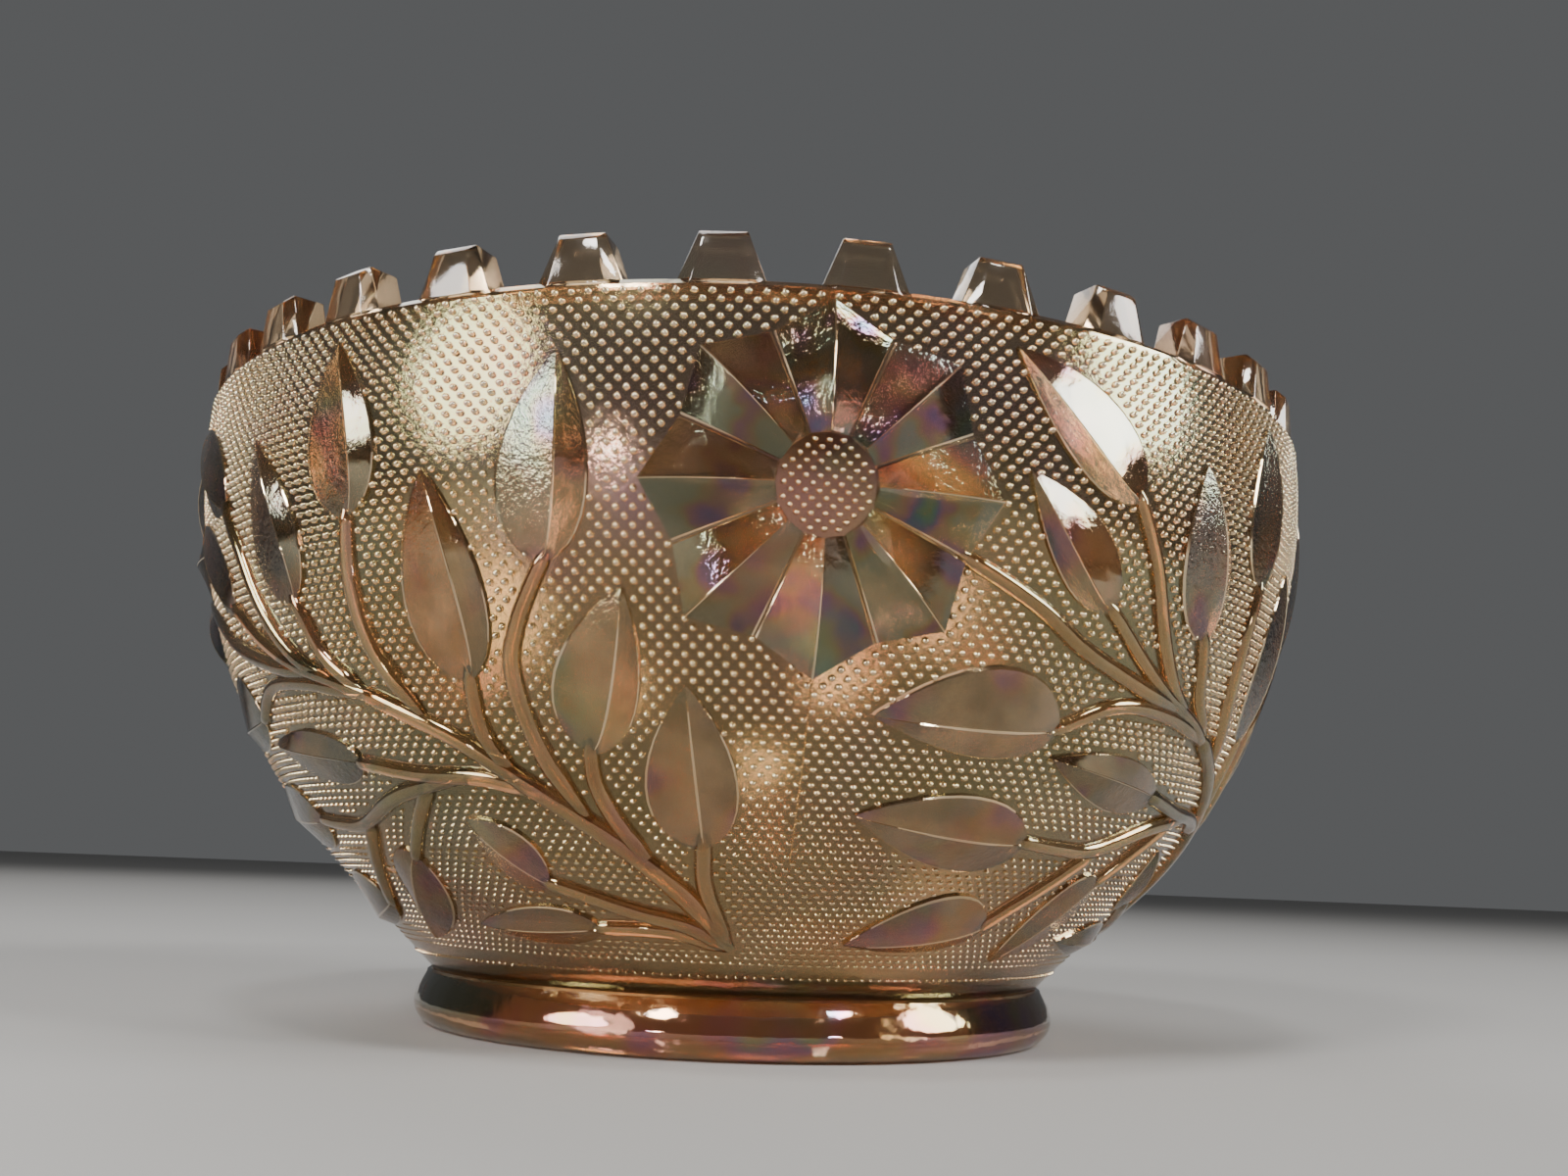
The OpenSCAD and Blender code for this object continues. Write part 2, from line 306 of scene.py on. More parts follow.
# ---------------------------------------------------------------- bowl, rim and foot
def make_bowl():
    """Wall and floor as one closed shell, with a rounded join between them inside."""
    fillet = 9 * MM
    lap = 0.4 * MM               # into the foot ring, below and round the floor
    low = FOOT_H - lap
    inner_foot = wall_radius(FLOOR_Z, -WALL_T)
    bend_r = inner_foot - fillet * math.tan(TOE / 2)
    bend = arc_points(bend_r, FLOOR_Z + fillet, fillet, -45, -90, 8)
    sunk = RECESS_R + lap
    profile = [(0, RECESS_H), (0.5 * sunk, RECESS_H), (sunk, RECESS_H), (sunk, low)]
    profile += wall_line(low, BAND_Z, 0, 48)
    profile += wall_line(BAND_Z, bend[0][1] + 0.5 * MM, -WALL_T, 40)
    profile += bend + [(0.4 * bend_r, FLOOR_Z), (0, FLOOR_Z)]
    obj = lathe("glass_bowl", profile)
    smooth(obj, 40)
    return obj


def make_band():
    """The plain band that the teeth stand on, its upper edges sloped."""
    slope = 0.75 * MM
    ease = 0.3 * MM              # the slope inside, and how far the band reaches down into the wall
    slip = 0.02 * MM             # its lower edges stay this far within the wall's faces
    low = BAND_Z - ease
    out_r, in_r = wall_radius(RIM_Z), wall_radius(RIM_Z, -WALL_T)
    profile = [
        (wall_radius(low) - slip, low),
        (out_r, RIM_Z - slope),
        (out_r - slope, RIM_Z),
        (in_r + ease, RIM_Z),
        (in_r, RIM_Z - ease),
        (wall_radius(low, -WALL_T) + slip, low),
        (wall_radius(low) - slip, low),
    ]
    obj = lathe("rim_band_ring", profile)
    smooth(obj, 25)
    return obj


def make_foot():
    """The foot ring: flat standing face, rolled outer edge, small steps up to the bowl's neck."""
    roll = 3.1 * MM
    chamfer = 0.5 * MM
    neck = wall_radius(FOOT_H)
    roll_mid = FOOT_R - roll
    profile = [(RECESS_R, chamfer), (RECESS_R + chamfer, 0), (roll_mid - 0.3 * MM, 0)]
    profile += arc_points(roll_mid, roll, roll, -84, 20, 12)
    profile += [(FOOT_R - 0.45 * MM, 5.1 * MM), (neck + 1.1 * MM, 6.5 * MM)]
    profile += [(neck + 0.75 * MM, 7.2 * MM), (neck + 0.3 * MM, FOOT_H)]
    profile += [(RECESS_R, FOOT_H), (RECESS_R, chamfer)]
    obj = lathe("foot_ring_glass", profile)
    smooth(obj, 28)
    return obj


def make_tooth():
    """One tooth at the front: a block that narrows upwards, its outer face sloped off at the sides
    and the top."""
    reach = wall_radius(RIM_Z)
    sink = 0.5 * MM              # into the band
    slope = 1.2 * MM             # how deep those slopes go
    face_root, face_top = 3.2 * MM, 2.15 * MM        # the outer face's half width at either end
    face_drop = 1.1 * MM         # the outer face ends this far below the tooth's top
    tall = TOP_Z - RIM_Z
    mid_y = -(reach - WALL_T / 2)
    bpy.ops.mesh.primitive_cube_add(size=1, location=(0, 0, 0))
    obj = named("tooth")
    obj.scale = (TOOTH_ROOT, WALL_T, tall + sink)
    obj.location = (0, mid_y, RIM_Z + (tall - sink) / 2)
    settle(obj)
    edit(obj)
    choose_vertices(obj, lambda co: co.z > RIM_Z)
    bpy.ops.transform.resize(value=(TOOTH_TOP / TOOTH_ROOT, 1, 1), center_override=(0, mid_y, TOP_Z))
    choose_vertices(obj, lambda co: co.y < mid_y)
    bpy.ops.mesh.select_mode(type="FACE")
    bpy.ops.transform.translate(value=(0, slope, 0))
    bpy.ops.mesh.extrude_region_move(TRANSFORM_OT_translate={"value": (0, -slope, 0)})
    leave()
    face_y = -reach + 0.1 * MM
    for v in obj.data.vertices:
        if v.co.y < face_y:
            top = v.co.z > RIM_Z
            v.co.x = math.copysign(face_top if top else face_root, v.co.x)
            v.co.z = TOP_Z - face_drop if top else v.co.z
    bevelled(obj, 0.16 * MM, 12)
    smooth(obj, 20)
    return obj


def ring_of(obj, count, start, name):
    """Copies of a piece round the bowl, each with its own mesh, joined."""
    parts = []
    for i in range(count):
        c = obj.copy()
        c.data = obj.data.copy()
        bpy.context.scene.collection.objects.link(c)
        c.data.transform(Matrix.Rotation(math.radians(start + i * 360 / count), 4, "Z"))
        parts.append(c)
    bpy.data.objects.remove(obj)
    return join(parts, name)


# ---------------------------------------------------------------- leaves, petals and stems
def leaf_swell(t):
    """Share of a leaf's swell at share t of its length: round base, sharp tip; 0.373 is what the
    formula gives at the widest place."""
    return t ** 0.55 * (1 - t) ** 0.95 / 0.373


def leaf_frame(leaf):
    """Turn, base, axis and left-hand direction of a leaf, seen square on."""
    turn = (leaf[0] + leaf[2]) / 2
    base = seen(leaf[0], leaf[1] * MM, turn)
    axis = seen(leaf[2], leaf[3] * MM, turn) - base
    left = Vector((-axis.y, axis.x)).normalized()
    return turn, base, axis, left


def leaf_outline(leaf, spare):
    """A leaf's turn and its outline seen square on, grown by spare."""
    turn, base, axis, left = leaf_frame(leaf)
    ts = [i / 12 for i in range(1, 12)]
    wide = [(base + t * axis + left * (leaf[4] * MM * leaf_swell(t) + spare)) for t in ts]
    back = [(base + t * axis - left * (leaf[5] * MM * leaf_swell(t) + spare)) for t in ts]
    out = axis.normalized() * spare
    return turn, [base - out] + wide + [base + axis + out] + back[::-1]


def close_back(obj, depth):
    """Extrudes the open edge of a relief sheet into the wall and closes it."""
    edit(obj)
    bpy.ops.mesh.select_all(action="SELECT")
    bpy.ops.mesh.remove_doubles(threshold=1e-5)
    bpy.ops.mesh.select_all(action="DESELECT")
    bpy.ops.mesh.select_mode(type="EDGE")
    bpy.ops.mesh.select_non_manifold()
    bpy.ops.mesh.extrude_region_move(TRANSFORM_OT_translate={"value": (0, 0, 0)})
    leave()
    for v in obj.data.vertices:
        if v.select:
            r = math.hypot(v.co.x, v.co.y)
            nr, nz = section_normal(v.co.z)
            v.co.x -= depth * nr * v.co.x / r
            v.co.y -= depth * nr * v.co.y / r
            v.co.z -= depth * nz
    edit(obj)
    bpy.ops.mesh.edge_face_add()
    bpy.ops.mesh.select_all(action="SELECT")
    bpy.ops.mesh.normals_make_consistent(inside=False)
    leave()


def roof(a, ridge, eaves, cap, edge):
    """Height across a faceted leaf or petal at share a of its half width: a narrow flat along the
    ridge, a plane facet, and a narrow slope at the edge."""
    if a <= cap:
        return ridge - CAP_DROP * a / cap
    if a <= edge:
        t = (a - cap) / (edge - cap)
        return (ridge - CAP_DROP) * (1 - t) + (eaves + EDGE_DROP) * t
    return eaves + EDGE_DROP * (1 - a) / (1 - edge)


def column(x, columns):
    """The column of the grid that a vertex at x stands in."""
    return columns[round((x + 1) / 2 * (len(columns) - 1))]


def tone_facets(obj, columns, left, right, line):
    """Gives the two facets of a flat grid their glass, and the narrow columns of its ridge and edges
    a lighter, more metallic gold glass: a painted highlight along the ridge and the edges."""
    for m in (left, right, line):
        obj.data.materials.append(m)
    for face in obj.data.polygons:
        x = sum(obj.data.vertices[i].co.x for i in face.vertices) / len(face.vertices)
        k = int((x + 1) / 2 * (len(columns) - 1))
        narrow = abs(columns[k + 1] - columns[k]) < 0.1
        face.material_index = 2 if narrow else (0 if x < 0 else 1)


def make_leaf(leaf):
    """A leaf of two plane facets that meet in a ridge, each in its own glass: the left one stippled
    and darker, the right one smoother and lighter. The stipple is real; the darker and lighter tones
    are painted shade and painted light on the two facets. A grid shaped row by row."""
    rows = 16
    turn, base, axis, left = leaf_frame(leaf)
    bpy.ops.mesh.primitive_grid_add(x_subdivisions=len(LEAF_COLUMNS) - 1, y_subdivisions=rows, size=2)
    obj = named("leaf")
    tone_facets(obj, LEAF_COLUMNS, smoke, leaf_side, painted_ridge_highlight)
    ridge = leaf[6]
    for v in obj.data.vertices:
        side = -column(v.co.x, LEAF_COLUMNS)             # 1 at the left edge
        t = 0.5 - 0.5 * math.cos(math.pi * (v.co.y + 1) / 2)
        swell = leaf_swell(t) if 0.0001 < t < 0.9999 else 0
        left_w, right_w = leaf[4] * MM * swell, leaf[5] * MM * swell
        ridge_x = -ridge * (right_w if ridge > 0 else left_w)
        reach = left_w - ridge_x if side >= 0 else right_w + ridge_x
        p = base + t * axis + left * (ridge_x + side * reach)
        crown = math.sin(math.pi * t) ** 0.6 if 0.0001 < t < 0.9999 else 0
        high = LEAF_RIDGE + LEAF_RISE * crown
        height = roof(abs(side), high, LEAF_EAVES, LEAF_CAP, LEAF_EDGE)
        v.co = facing(p.x, p.y, turn + SPRAY_TURN, height)
    close_back(obj, 0.9 * MM)
    smooth(obj, 7)
    return obj


def make_petal(index):
    """One petal: a kite of two facets from the eye to the tip, each in its own glass, with a ridge
    along its middle. The two glasses are a darker and a lighter, smoother copy of one glass: painted
    shade and painted light on the two facets."""
    half = math.pi / PETALS
    gap = 0.12 * MM
    bpy.ops.mesh.primitive_grid_add(x_subdivisions=len(PETAL_COLUMNS) - 1, y_subdivisions=8, size=2)
    obj = named("petal")
    tone_facets(obj, PETAL_COLUMNS, petal_glass, petal_side, painted_ridge_highlight)
    root = EYE_R + 0.25 * MM
    lean = Matrix.Rotation(-index * 2 * half, 2)
    valley = Vector((math.sin(half), math.cos(half)))
    for v in obj.data.vertices:
        s, t = column(v.co.x, PETAL_COLUMNS), (v.co.y + 1) / 2
        edge = (valley * root).lerp(valley * NOTCH_R, t)
        edge.x = max(edge.x - gap, 0.02 * MM)
        ridge = Vector((0, root * 0.99)).lerp(Vector((0, PETAL_TIP)), t)
        p = lean @ ridge.lerp(Vector((math.copysign(edge.x, s), edge.y)), abs(s))
        high = PETAL_RIDGE + PETAL_RISE * math.sin(math.pi * min(1, 0.12 + 0.9 * t)) ** 0.7
        height = roof(abs(s), high, PETAL_EAVES, PETAL_CAP, PETAL_EDGE)
        v.co = facing(p.x, BLOSSOM_Z + p.y, 0, height)
    close_back(obj, 0.8 * MM)
    smooth(obj, 7)
    return obj


def blossom_outline(spare):
    """The blossom's star seen square on, grown by spare."""
    step = math.pi / PETALS
    rs = [(PETAL_TIP if i % 2 == 0 else NOTCH_R) + spare for i in range(2 * PETALS)]
    return [Vector((r * math.sin(i * step), BLOSSOM_Z + r * math.cos(i * step)))
            for i, r in enumerate(rs)]


def smooth_route(points, per_span):
    """A curve through all the points of a route."""
    p = [np.array(q, float) for q in points]
    p = [2 * p[0] - p[1]] + p + [2 * p[-1] - p[-2]]
    out = []
    for a, b, c, d in zip(p, p[1:], p[2:], p[3:]):
        for i in range(per_span):
            t = i / per_span
            out.append(0.5 * (2 * b + (c - a) * t + (2 * a - 5 * b + 4 * c - d) * t * t
                              + (3 * b - a - 3 * c + d) * t ** 3))
    return out + [p[-2]]


def in_blossom(angle, z, turn):
    """True where a point of the wall lies inside the blossom that faces angle turn."""
    if abs((angle - turn + 180) % 360 - 180) > BLOSSOM_SPAN:
        return False
    q = seen(angle, z, turn)
    across, up = q.x, q.y - BLOSSOM_Z
    spread = math.atan2(across, up) % (2 * math.pi / PETALS)
    share = abs(spread - math.pi / PETALS) / (math.pi / PETALS)
    return math.hypot(across, up) < NOTCH_R + (PETAL_TIP - NOTCH_R) * share - 0.2 * MM


def make_stem(stem):
    """A rounded cord along the wall, half sunk in it, tapered to its end. It goes on a little under
    its leaf, or ends where it meets the blossom of the section at the left."""
    start_w, end_w, route = stem
    step = np.array(route[-1]) - np.array(route[-2])
    ahead = step * STEM_LAP / np.hypot(step[0] * math.radians(1) * BELLY_R / MM, step[1])
    route = smooth_route(route, 8) + [np.array(route[-1]) + ahead]
    hidden = [in_blossom(q[0] + SPRAY_TURN, q[1] * MM, -QUARTER) for q in route]
    if any(hidden):
        route = route[:hidden.index(True) + 1]
    curve = bpy.data.curves.new("stem", "CURVE")
    curve.dimensions = "3D"
    curve.bevel_depth = STEM_R
    curve.bevel_resolution = 3
    curve.use_fill_caps = True
    line = curve.splines.new("POLY")
    line.points.add(len(route) - 1)
    for i, (p, (angle, z)) in enumerate(zip(line.points, route)):
        t = i / (len(route) - 1)
        width = start_w + (end_w - start_w) * t
        p.co = (*on_wall(angle + SPRAY_TURN, z * MM, -0.05 * MM), 1)
        p.radius = width * (0.55 + 0.45 * min(1, 6 * t)) * (1 if i < len(route) - 1 else 0.45)
    obj = bpy.data.objects.new("stem", curve)
    bpy.context.scene.collection.objects.link(obj)
    pick(obj)
    bpy.ops.object.convert(target="MESH")
    obj = bpy.context.object
    smooth(obj, 60)
    return obj


def quarter_turns(obj, name):
    """The same relief on all four sections: a copy for each, turned to its place."""
    made = []
    for k, side in enumerate(SIDES):
        c = obj.copy()
        c.data = obj.data.copy()
        c.name = c.data.name = f"{name}_{side}"
        bpy.context.scene.collection.objects.link(c)
        c.data.transform(Matrix.Rotation(math.radians(k * QUARTER), 4, "Z"))
        made.append(c)
    bpy.data.objects.remove(obj)
    return made


# ---------------------------------------------------------------- beads
def inside(outline, x, y):
    """Which of the points x, y lie inside a closed outline."""
    ox = np.array([p[0] for p in outline])
    oy = np.array([p[1] for p in outline])
    hit = np.zeros(len(x), bool)
    for x0, y0, x1, y1 in zip(ox, oy, np.roll(ox, -1), np.roll(oy, -1)):
        if y0 == y1:
            continue
        cross = (y0 > y) != (y1 > y)
        hit ^= cross & (x < (x1 - x0) * (y - y0) / (y1 - y0) + x0)
    return hit


def bead_places():
    """Angle and height of every bead of the front section, before the relief is cleared. Every other
    row is half a step further round."""
    z, lowest = BAND_Z - 0.35 * MM, GROUND_Z - 1.3 * MM
    rows = []
    while z > lowest:
        rows.append(z)
        z -= ROW_STEP * section_normal(z)[0]
    rows.append(STUD_Z)
    angle, height = [], []
    for j, z in enumerate(rows):
        for i in range(BEADS_ROUND // len(SIDES)):
            angle.append(-QUARTER / 2 + (i + 0.25 + 0.5 * (j % 2)) * BEAD_STEP)
            height.append(z)
    return np.array(angle), np.array(height)


def covered(angle, z):
    """Which places lie under a leaf, a stem or a blossom."""
    radius = np.array([wall_radius(q) for q in z])
    hit = np.zeros(len(z), bool)
    for turn in (SPRAY_TURN, SPRAY_TURN + QUARTER, SPRAY_TURN - QUARTER):
        for leaf in LEAVES:
            a0, outline = leaf_outline(leaf, LEAF_ROOM)
            x = radius * np.sin(np.radians(angle - a0 - turn))
            near = np.abs(angle - a0 - turn) < LEAF_SPAN
            hit |= near & inside(outline, x, z)
        for *_, route in STEMS:
            for a, h in smooth_route(route, 6):
                dx = radius * np.radians(angle - a - turn)
                hit |= np.hypot(dx, z - h * MM) < STEM_ROOM
    for turn in (0, QUARTER, -QUARTER):
        x = radius * np.sin(np.radians(angle - turn))
        near = np.abs(angle - turn) < BLOSSOM_SPAN
        hit |= near & inside(blossom_outline(BLOSSOM_ROOM), x, z)
    return hit


def bead_shape():
    """One bead, a low dome closed underneath: half a ball of unit radius."""
    bpy.ops.mesh.primitive_uv_sphere_add(segments=8, ring_count=4, radius=1, location=(0, 0, 0))
    obj = named("bead")
    edit(obj)
    bpy.ops.mesh.select_all(action="SELECT")
    bpy.ops.mesh.bisect(plane_co=(0, 0, -0.02), plane_no=(0, 0, -1), clear_outer=True, use_fill=True)
    bpy.ops.mesh.select_all(action="SELECT")
    bpy.ops.mesh.remove_doubles(threshold=0.05)
    leave()
    outward(obj)
    verts = np.array([v.co[:] for v in obj.data.vertices])
    faces = [tuple(p.vertices) for p in obj.data.polygons]
    bpy.data.objects.remove(obj)
    return verts, faces


def bead_size(z):
    """Half width, half length down the wall and height of a ground bead at height z. The beads get
    flat and short towards the foot."""
    if z <= STUD_Z:
        return STUD
    upper = min(1, max(0, (z / MM - 27) / 15))
    lower = min(1, max(0, (z / MM - 12.5) / 12))
    wide = (0.44 + 0.01 * upper) * MM
    long_ = (0.26 + 0.18 * upper) * MM
    high = (0.08 + 0.24 * lower + 0.24 * upper) * MM
    return wide, long_, high


def set_beads(name, shape, places, sizes, sink=0.12 * MM):
    """One mesh with a copy of the bead at every place, standing square to the wall, its underside
    sunk into the wall and a little wider."""
    verts, faces = shape
    low = verts[:, 2] < 0.05
    all_verts, all_faces = [], []
    for n, ((angle, z), (wide, long_, high)) in enumerate(zip(places, sizes)):
        a = math.radians(angle)
        nr, nz = section_normal(z)
        out = np.array([nr * math.sin(a), -nr * math.cos(a), nz])
        along = np.array([math.cos(a), math.sin(a), 0])
        down = np.cross(along, out)
        height = np.where(low, -sink, verts[:, 2] * high)
        grow = np.where(low, 1.04, 1.0)
        p = np.array(on_wall(angle, z)) + np.outer(verts[:, 0] * wide * grow, along)
        p += np.outer(verts[:, 1] * long_ * grow, down) + np.outer(height, out)
        all_verts.append(p)
        k = n * len(verts)
        all_faces += [tuple(i + k for i in f) for f in faces]
    mesh = bpy.data.meshes.new(name)
    mesh.from_pydata(np.concatenate(all_verts).tolist(), [], all_faces)
    obj = bpy.data.objects.new(name, mesh)
    bpy.context.scene.collection.objects.link(obj)
    outward(obj)
    smooth(obj, 50)
    return obj


def make_beads():
    """The front section's beaded ground, with the mould seam as narrow beads that run together."""
    shape = bead_shape()
    angle, z = bead_places()
    free = ~covered(angle, z)
    places = list(zip(angle[free], z[free]))
    sizes = [bead_size(h) for h in z[free]]
    seam = np.arange(SEAM_Z[0], SEAM_Z[1], SEAM_STEP)
    places += [(0.0, h) for h in seam]
    sizes += [SEAM_BEAD for h in seam]
    return set_beads("bead_ground", shape, places, sizes)


def make_eye():
    """The blossom's beaded centre: a low pad with larger beads in staggered rows of their own."""
    shape = bead_shape()
    places, sizes = [], []
    for j in range(-7, 8):
        for i in range(-5, 6):
            x = (i + 0.5 * (j % 2)) * EYE_STEP
            y = j * EYE_STEP / 2
            if math.hypot(x, y) < EYE_R - 0.1 * MM:
                z = BLOSSOM_Z + y
                places.append((math.degrees(math.asin(x / wall_radius(z))), z))
                sizes.append(EYE_BEAD)
    beads = set_beads("eye_beads", shape, places, sizes, sink=0.2 * MM)
    beads.data.materials.append(gold_glint_glass)
    bpy.ops.mesh.primitive_circle_add(vertices=40, radius=EYE_R + 0.3 * MM, fill_type="TRIFAN")
    pad = named("eye_pad")
    for v in pad.data.vertices:
        v.co = facing(v.co.x, BLOSSOM_Z + v.co.y, 0, 0.42 * MM)
    close_back(pad, 0.9 * MM)
    pad.data.materials.append(amber)
    smooth(pad, 30)
    return join([beads, pad], "eye")


# ---------------------------------------------------------------- materials
LOW_TINT_Z = (34 * MM, 9 * MM)   # the low tint sets in at the first height and is full at the second
FILM_NOISE = (0.50, 0.78)        # the noise values where the film starts to thicken and where it ends


def socket(group, name, kind, default, high=1.0):
    s = group.interface.new_socket(name=name, in_out="INPUT", socket_type=kind)
    s.default_value = default
    if kind == "NodeSocketFloat":
        s.min_value, s.max_value = 0.0, high


def ramp(nodes, stops):
    r = nodes.new("ShaderNodeValToRGB")
    while len(r.color_ramp.elements) < len(stops):
        r.color_ramp.elements.new(0.5)
    for e, (at, colour) in zip(r.color_ramp.elements, stops):
        e.position = at
        e.color = (*colour, 1)
    return r


def carnival_sheen():
    """Tint that drifts over the surface, patches of rainbow lustre in it, and a fine grain."""
    g = bpy.data.node_groups.new("carnival_sheen", "ShaderNodeTree")
    socket(g, "Tint", "NodeSocketColor", (0.8, 0.55, 0.35, 1))
    socket(g, "Deep Tint", "NodeSocketColor", (0.5, 0.25, 0.1, 1))
    socket(g, "Low Tint", "NodeSocketColor", (0.5, 0.25, 0.1, 1))
    socket(g, "Drift Scale", "NodeSocketFloat", 30.0, 1000)
    socket(g, "Patch Amount", "NodeSocketFloat", 0.5)
    socket(g, "Grain Scale", "NodeSocketFloat", 1500.0, 10000)
    socket(g, "Grain", "NodeSocketFloat", 0.5)
    socket(g, "Gloss", "NodeSocketFloat", 0.06)
    for name, kind in (("Color", "NodeSocketColor"), ("Roughness", "NodeSocketFloat"),
                       ("Height", "NodeSocketFloat")):
        g.interface.new_socket(name=name, in_out="OUTPUT", socket_type=kind)
    n, link = g.nodes, g.links.new
    given, put = n.new("NodeGroupInput"), n.new("NodeGroupOutput")
    place = n.new("ShaderNodeTexCoord")

    def noise(scale, detail, rough, warp=0.0):
        t = n.new("ShaderNodeTexNoise")
        t.inputs["Detail"].default_value = detail
        t.inputs["Roughness"].default_value = rough
        t.inputs["Distortion"].default_value = warp
        link(place.outputs["Object"], t.inputs["Vector"])
        if isinstance(scale, float):
            t.inputs["Scale"].default_value = scale
        else:
            link(scale, t.inputs["Scale"])
        return t

    def mix(factor, a, b):
        m = n.new("ShaderNodeMix")
        m.data_type = "RGBA"
        link(factor, m.inputs["Factor"])
        link(a, m.inputs["A"])
        link(b, m.inputs["B"])
        return m.outputs["Result"]

    drift = noise(given.outputs["Drift Scale"], 3, 0.55)
    drift_ramp = ramp(n, [(0.35, (0, 0, 0)), (0.65, (1, 1, 1))])
    link(drift.outputs["Fac"], drift_ramp.inputs["Fac"])
    body = mix(drift_ramp.outputs["Color"], given.outputs["Tint"], given.outputs["Deep Tint"])
    apart = n.new("ShaderNodeSeparateXYZ")
    link(place.outputs["Object"], apart.inputs["Vector"])
    low = n.new("ShaderNodeMapRange")
    low.inputs["From Min"].default_value = LOW_TINT_Z[0]
    low.inputs["From Max"].default_value = LOW_TINT_Z[1]
    link(apart.outputs["Z"], low.inputs["Value"])
    body = mix(low.outputs["Result"], body, given.outputs["Low Tint"])

    hue = noise(70.0, 2, 0.5, 0.6)
    rainbow = ramp(n, [
        (0.30, (0.95, 0.72, 0.20)), (0.40, (0.98, 0.86, 0.55)), (0.47, (0.80, 0.25, 0.55)),
        (0.53, (0.45, 0.30, 0.75)), (0.58, (0.15, 0.75, 0.78)), (0.66, (0.35, 0.80, 0.45)),
        (0.74, (0.98, 0.82, 0.35)),
    ])
    link(hue.outputs["Fac"], rainbow.inputs["Fac"])
    where = noise(45.0, 4, 0.6, 0.3)
    where_ramp = ramp(n, [(0.50, (0, 0, 0)), (0.64, (1, 1, 1))])
    link(where.outputs["Fac"], where_ramp.inputs["Fac"])
    amount = n.new("ShaderNodeMath")
    amount.operation = "MULTIPLY"
    link(where_ramp.outputs["Color"], amount.inputs[0])
    link(given.outputs["Patch Amount"], amount.inputs[1])
    link(mix(amount.outputs[0], body, rainbow.outputs["Color"]), put.inputs["Color"])

    grain = noise(given.outputs["Grain Scale"], 3, 0.6)
    waves = noise(240.0, 2, 0.5)
    height = n.new("ShaderNodeMix")
    height.data_type = "FLOAT"
    link(given.outputs["Grain"], height.inputs["Factor"])
    link(waves.outputs["Fac"], height.inputs["A"])
    link(grain.outputs["Fac"], height.inputs["B"])
    link(height.outputs["Result"], put.inputs["Height"])

    rough = n.new("ShaderNodeMath")
    rough.operation = "MULTIPLY_ADD"
    link(grain.outputs["Fac"], rough.inputs[0])
    link(given.outputs["Gloss"], rough.inputs[1])
    link(given.outputs["Gloss"], rough.inputs[2])
    link(rough.outputs[0], put.inputs["Roughness"])
    return g


SHEEN = carnival_sheen()


def lustre_glass(name, tint, deep, low, drift=30.0, patch=0.5, grain_scale=1500.0, grain=0.5,
                 gloss=0.06, metal=0.1, relief=0.3, coat=0.5, film=None, film_index=1.9):
    """Pressed glass with a metallic rainbow lustre fired on to it. The glass drifts from tint to
    deep, and to low near the foot. The film is given as its least and greatest thickness in
    nanometres and the scale of the clouds that it thickens in."""
    m = bpy.data.materials.new(name)
    m.use_nodes = True
    n, link = m.node_tree.nodes, m.node_tree.links.new
    shader = n["Principled BSDF"]
    sheen = n.new("ShaderNodeGroup")
    sheen.node_tree = SHEEN
    for key, value in (("Tint", (*tint, 1)), ("Deep Tint", (*deep, 1)), ("Low Tint", (*low, 1)),
                       ("Drift Scale", drift), ("Patch Amount", patch),
                       ("Grain Scale", grain_scale), ("Grain", grain), ("Gloss", gloss)):
        sheen.inputs[key].default_value = value
    link(sheen.outputs["Color"], shader.inputs["Base Color"])
    link(sheen.outputs["Roughness"], shader.inputs["Roughness"])
    bump = n.new("ShaderNodeBump")
    bump.inputs["Strength"].default_value = relief
    bump.inputs["Distance"].default_value = 0.3 * MM
    link(sheen.outputs["Height"], bump.inputs["Height"])
    link(bump.outputs["Normal"], shader.inputs["Normal"])
    shader.inputs["Metallic"].default_value = metal
    shader.inputs["Transmission Weight"].default_value = 1.0
    shader.inputs["IOR"].default_value = 1.5
    shader.inputs["Coat Weight"].default_value = coat
    shader.inputs["Coat Roughness"].default_value = 0.03
    shader.inputs["Coat IOR"].default_value = 1.6
    if film:
        thin, thick, cloud_scale = film
        cloud = n.new("ShaderNodeTexNoise")
        cloud.inputs["Scale"].default_value = cloud_scale
        cloud.inputs["Detail"].default_value = 2.0
        link(n.new("ShaderNodeTexCoord").outputs["Object"], cloud.inputs["Vector"])
        layer = n.new("ShaderNodeMapRange")
        for key, value in (("From Min", FILM_NOISE[0]), ("From Max", FILM_NOISE[1]),
                           ("To Min", thin), ("To Max", thick)):
            layer.inputs[key].default_value = value
        link(cloud.outputs["Fac"], layer.inputs["Value"])
        link(layer.outputs["Result"], shader.inputs["Thin Film Thickness"])
        shader.inputs["Thin Film IOR"].default_value = film_index
    return m


def finish_piece(obj, material, slot, *nodes):
    """Gives the piece its glass, unless it was made with its own, hangs it under the root and hides
    the model's nodes that it stands for. The slot argument is not used."""
    if not obj.data.materials:
        obj.data.materials.append(material)
    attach(obj, "root")
    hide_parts(*nodes)


